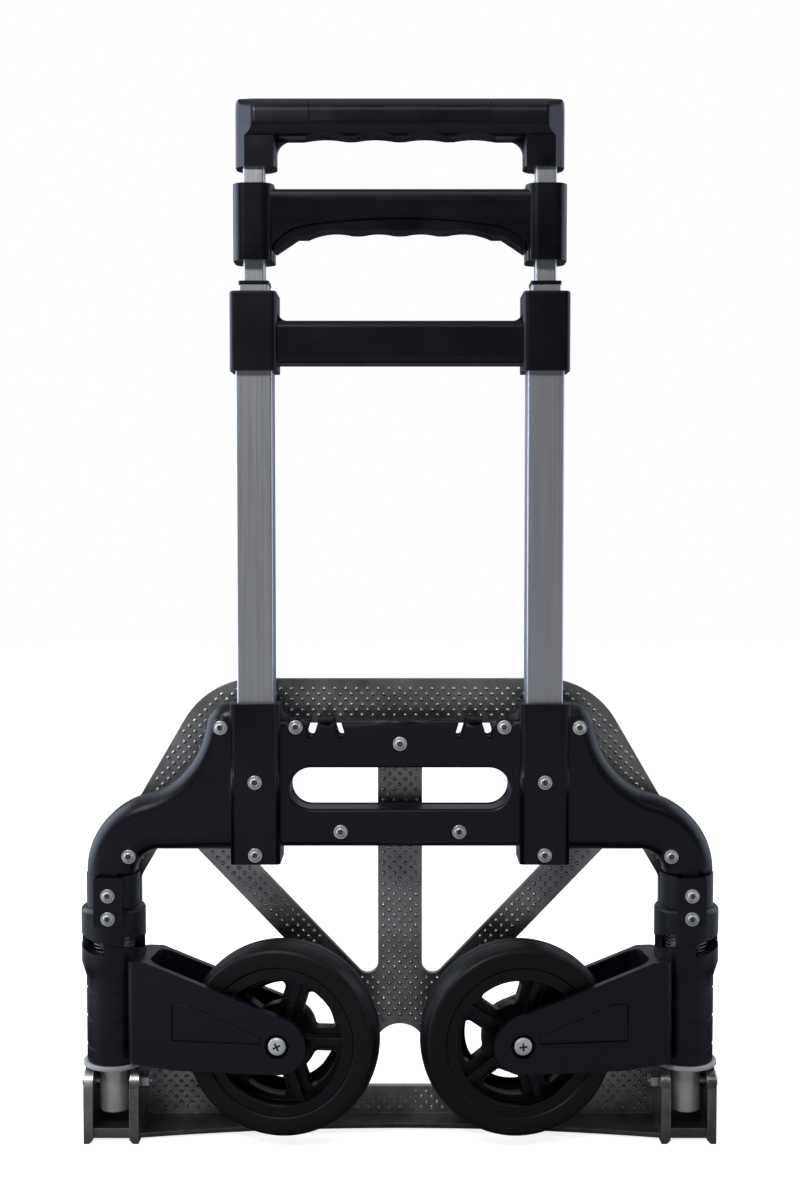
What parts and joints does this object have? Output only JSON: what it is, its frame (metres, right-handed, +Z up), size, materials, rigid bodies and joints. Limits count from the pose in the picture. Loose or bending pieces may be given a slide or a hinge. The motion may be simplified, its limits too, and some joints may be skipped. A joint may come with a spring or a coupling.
{
  "type": "folding hand truck",
  "caption": "Folding hand truck with a telescopic square-tube handle, finger-grooved grips, hinged cast toe plate and swing-out wheels, standing folded flat.",
  "frame": {"origin": "on the floor, under the middle of the folded truck's box", "axes": "+Z up along the telescopic tubes, +X to the right seen from the wheel side, +Y from the wheel side to the side the toe plate opens to"},
  "size_m": [0.4092, 0.0636, 0.659],
  "materials": {
    "black_plastic": "moulded black plastic, satin",
    "tyre_rubber": "black rubber, matte",
    "tube_aluminium": "drawn tube, brushed lengthwise",
    "cast_aluminium": "die-cast, matte grey",
    "zinc_steel": "zinc plated",
    "spring_steel": "oiled spring wire",
    "white_nylon": "natural nylon"
  },
  "bodies": {
    "frame": {"rear_shell": "black_plastic", "front_shell": "black_plastic", "shell_screws": "zinc_steel", "collar_screws": "zinc_steel", "crossbar": "black_plastic", "left_stile_tube": "tube_aluminium", "right_stile_tube": "tube_aluminium", "left_stile_bush": "black_plastic", "right_stile_bush": "black_plastic", "left_leg_post": "zinc_steel", "right_leg_post": "zinc_steel", "left_cam_collar": "black_plastic", "right_cam_collar": "black_plastic", "left_lift_spring": "spring_steel", "right_lift_spring": "spring_steel"},
    "lower_stage": {"left_mid_tube": "tube_aluminium", "right_mid_tube": "tube_aluminium", "left_mid_cap": "black_plastic", "right_mid_cap": "black_plastic", "left_mid_foot": "black_plastic", "right_mid_foot": "black_plastic"},
    "upper_stage": {"top_handle": "black_plastic", "middle_handle": "black_plastic", "left_handle_cap": "black_plastic", "right_handle_cap": "black_plastic", "left_inner_tube": "tube_aluminium", "right_inner_tube": "tube_aluminium", "left_inner_foot": "black_plastic", "right_inner_foot": "black_plastic", "left_return_spring": "spring_steel", "right_return_spring": "spring_steel"},
    "release_trigger": {"release_trigger": "black_plastic", "left_release_rod": "zinc_steel", "right_release_rod": "zinc_steel"},
    "toe_plate": {"toe_plate": "cast_aluminium", "left_hinge_bolt": "zinc_steel", "right_hinge_bolt": "zinc_steel", "left_hinge_nut": "zinc_steel", "right_hinge_nut": "zinc_steel"},
    "left_washer": {"left_lift_washer": "white_nylon"},
    "left_bracket": {"left_wheel_fork": "black_plastic", "left_axle_bolt": "zinc_steel", "left_axle_nut": "zinc_steel"},
    "left_wheel": {"left_tyre": "tyre_rubber", "left_wheel_rim": "black_plastic", "left_wheel_bush": "white_nylon"},
    "right_washer": {"right_lift_washer": "white_nylon"},
    "right_bracket": {"right_wheel_fork": "black_plastic", "right_axle_bolt": "zinc_steel", "right_axle_nut": "zinc_steel"},
    "right_wheel": {"right_tyre": "tyre_rubber", "right_wheel_rim": "black_plastic", "right_wheel_bush": "white_nylon"}
  },
  "joints": [
    {"name": "toe_plate_fold", "type": "hinge", "parent": "frame", "child": "toe_plate", "pos_m": [0, 0.00475, 0.036], "axis": [-1, 0, 0], "range_deg": [0, 90]},
    {"name": "left_washer_lift", "type": "slide", "parent": "frame", "child": "left_washer", "axis": [0, 0, 1], "range_m": [0, 0.0055], "deforming": ["left_lift_spring"]},
    {"name": "left_wheel_swing", "type": "hinge", "parent": "left_washer", "child": "left_bracket", "pos_m": [-0.184, 0.00475, 0.1], "axis": [0, 0, -1], "range_deg": [0, 83]},
    {"name": "left_wheel_spin", "type": "hinge", "parent": "left_bracket", "child": "left_wheel", "pos_m": [-0.07432, -0.00872, 0.069], "axis": [0.1219, 0.9925, 0], "continuous": true},
    {"name": "right_washer_lift", "type": "slide", "parent": "frame", "child": "right_washer", "axis": [0, 0, 1], "range_m": [0, 0.0055], "deforming": ["right_lift_spring"]},
    {"name": "right_wheel_swing", "type": "hinge", "parent": "right_washer", "child": "right_bracket", "pos_m": [0.184, 0.00475, 0.1], "axis": [0, 0, 1], "range_deg": [0, 83]},
    {"name": "right_wheel_spin", "type": "hinge", "parent": "right_bracket", "child": "right_wheel", "pos_m": [0.07432, -0.00872, 0.069], "axis": [-0.1219, 0.9925, 0], "continuous": true},
    {"name": "lower_stage_slide", "type": "slide", "parent": "frame", "child": "lower_stage", "axis": [0, 0, 1], "range_m": [0, 0.2]},
    {"name": "upper_stage_slide", "type": "slide", "parent": "lower_stage", "child": "upper_stage", "axis": [0, 0, 1], "range_m": [0, 0.2]},
    {"name": "trigger_squeeze", "type": "slide", "parent": "upper_stage", "child": "release_trigger", "axis": [0, 0, 1], "range_m": [0, 0.006], "stiffness_N_per_m": 1000, "springref_m": -0.006, "deforming": ["left_return_spring", "right_return_spring"]}
  ],
  "couplings": [
    {"joint": "left_washer_lift", "follows": "toe_plate_fold", "m_per_rad": 0.0035014},
    {"joint": "left_wheel_swing", "follows": "toe_plate_fold", "ratio": 0.92222},
    {"joint": "right_washer_lift", "follows": "toe_plate_fold", "m_per_rad": 0.0035014},
    {"joint": "right_wheel_swing", "follows": "toe_plate_fold", "ratio": 0.92222}
  ]
}
